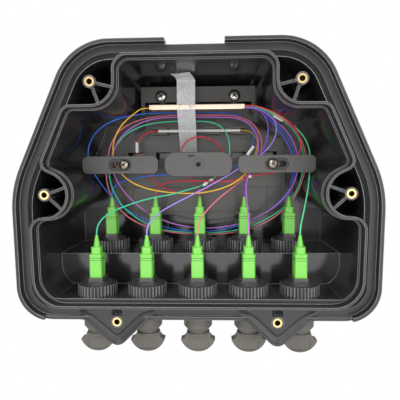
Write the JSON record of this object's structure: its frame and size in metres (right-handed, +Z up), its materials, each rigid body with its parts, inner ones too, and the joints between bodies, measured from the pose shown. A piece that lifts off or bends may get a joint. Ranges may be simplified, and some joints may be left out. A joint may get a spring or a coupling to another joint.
{
  "type": "fibre termination box",
  "caption": "Wall-mounted fibre distribution box, cover off: sealed adapter ports with dust caps, splitter, splice sleeve, retaining arms and coiled fibres.",
  "frame": {"origin": "middle of the wall bracket hole pattern on the flat back of the housing", "axes": "+Z up as the box hangs, +X to the right seen from the front, -Y out of the open front"},
  "size_m": [0.2094, 0.091, 0.1835],
  "materials": {
    "black_plastic": "satin",
    "grey_plastic": "satin",
    "green_plastic": "gloss",
    "cap_rubber": "matte",
    "seal_rubber": "matte",
    "brass": "satin",
    "steel": "gloss",
    "splitter_steel": "satin",
    "clear_sleeve": "gloss",
    "clear_film": "gloss",
    "fibre_jacket": "satin",
    "yellow_jacket": "satin"
  },
  "bodies": {
    "base": {"housing": "black_plastic", "cover_inserts": "brass", "adapter_nuts": "black_plastic", "adapter_seals": "seal_rubber", "adapter_1": "black_plastic", "connector_1": "green_plastic", "pigtail_1": "fibre_jacket", "adapter_2": "black_plastic", "connector_2": "green_plastic", "pigtail_2": "fibre_jacket", "adapter_3": "black_plastic", "connector_3": "green_plastic", "pigtail_3": "fibre_jacket", "adapter_4": "black_plastic", "connector_4": "green_plastic", "pigtail_4": "fibre_jacket", "adapter_5": "black_plastic", "connector_5": "green_plastic", "pigtail_5": "fibre_jacket", "adapter_6": "black_plastic", "connector_6": "green_plastic", "pigtail_6": "fibre_jacket", "adapter_7": "black_plastic", "connector_7": "green_plastic", "pigtail_7": "fibre_jacket", "adapter_8": "black_plastic", "connector_8": "green_plastic", "pigtail_8": "fibre_jacket", "adapter_9": "black_plastic", "connector_9": "green_plastic", "pigtail_9": "fibre_jacket", "adapter_10": "black_plastic", "connector_10": "green_plastic", "pigtail_10": "fibre_jacket", "splitter_lead": "yellow_jacket", "splice_tray": "black_plastic", "centre_retainer": "grey_plastic", "arm_screws": "steel", "tray_screws": "steel", "splitter": "splitter_steel", "splice_sleeve": "clear_sleeve", "tape": "clear_film"},
    "dust_cap_1": {"dust_cap_1": "cap_rubber"},
    "dust_cap_2": {"dust_cap_2": "cap_rubber"},
    "dust_cap_3": {"dust_cap_3": "cap_rubber"},
    "dust_cap_4": {"dust_cap_4": "cap_rubber"},
    "dust_cap_5": {"dust_cap_5": "cap_rubber"},
    "dust_cap_6": {"dust_cap_6": "cap_rubber"},
    "dust_cap_7": {"dust_cap_7": "cap_rubber"},
    "dust_cap_8": {"dust_cap_8": "cap_rubber"},
    "dust_cap_9": {"dust_cap_9": "cap_rubber"},
    "dust_cap_10": {"dust_cap_10": "cap_rubber"},
    "left_arm": {"left_arm": "grey_plastic"},
    "right_arm": {"right_arm": "grey_plastic"}
  },
  "joints": [
    {"name": "dust_cap_1_turn", "type": "hinge", "parent": "base", "child": "dust_cap_1", "pos_m": [-0.062, -0.072, -0.0858], "axis": [0, 0, 1], "range_deg": [0, 90]},
    {"name": "dust_cap_2_turn", "type": "hinge", "parent": "base", "child": "dust_cap_2", "pos_m": [-0.031, -0.072, -0.0858], "axis": [0, 0, 1], "range_deg": [0, 90]},
    {"name": "dust_cap_3_turn", "type": "hinge", "parent": "base", "child": "dust_cap_3", "pos_m": [0, -0.072, -0.0858], "axis": [0, 0, 1], "range_deg": [0, 90]},
    {"name": "dust_cap_4_turn", "type": "hinge", "parent": "base", "child": "dust_cap_4", "pos_m": [0.031, -0.072, -0.0858], "axis": [0, 0, 1], "range_deg": [0, 90]},
    {"name": "dust_cap_5_turn", "type": "hinge", "parent": "base", "child": "dust_cap_5", "pos_m": [0.062, -0.072, -0.0858], "axis": [0, 0, 1], "range_deg": [0, 90]},
    {"name": "dust_cap_6_turn", "type": "hinge", "parent": "base", "child": "dust_cap_6", "pos_m": [-0.062, -0.0326, -0.0652], "axis": [0, 0, 1], "range_deg": [0, 90]},
    {"name": "dust_cap_7_turn", "type": "hinge", "parent": "base", "child": "dust_cap_7", "pos_m": [-0.031, -0.0326, -0.0652], "axis": [0, 0, 1], "range_deg": [0, 90]},
    {"name": "dust_cap_8_turn", "type": "hinge", "parent": "base", "child": "dust_cap_8", "pos_m": [0, -0.0326, -0.0652], "axis": [0, 0, 1], "range_deg": [0, 90]},
    {"name": "dust_cap_9_turn", "type": "hinge", "parent": "base", "child": "dust_cap_9", "pos_m": [0.031, -0.0326, -0.0652], "axis": [0, 0, 1], "range_deg": [0, 90]},
    {"name": "dust_cap_10_turn", "type": "hinge", "parent": "base", "child": "dust_cap_10", "pos_m": [0.062, -0.0326, -0.0652], "axis": [0, 0, 1], "range_deg": [0, 90]},
    {"name": "left_arm_slide", "type": "slide", "parent": "base", "child": "left_arm", "axis": [1, 0, 0], "range_m": [0, 0.0035]},
    {"name": "right_arm_slide", "type": "slide", "parent": "base", "child": "right_arm", "axis": [-1, 0, 0], "range_m": [0, 0.0035]}
  ]
}
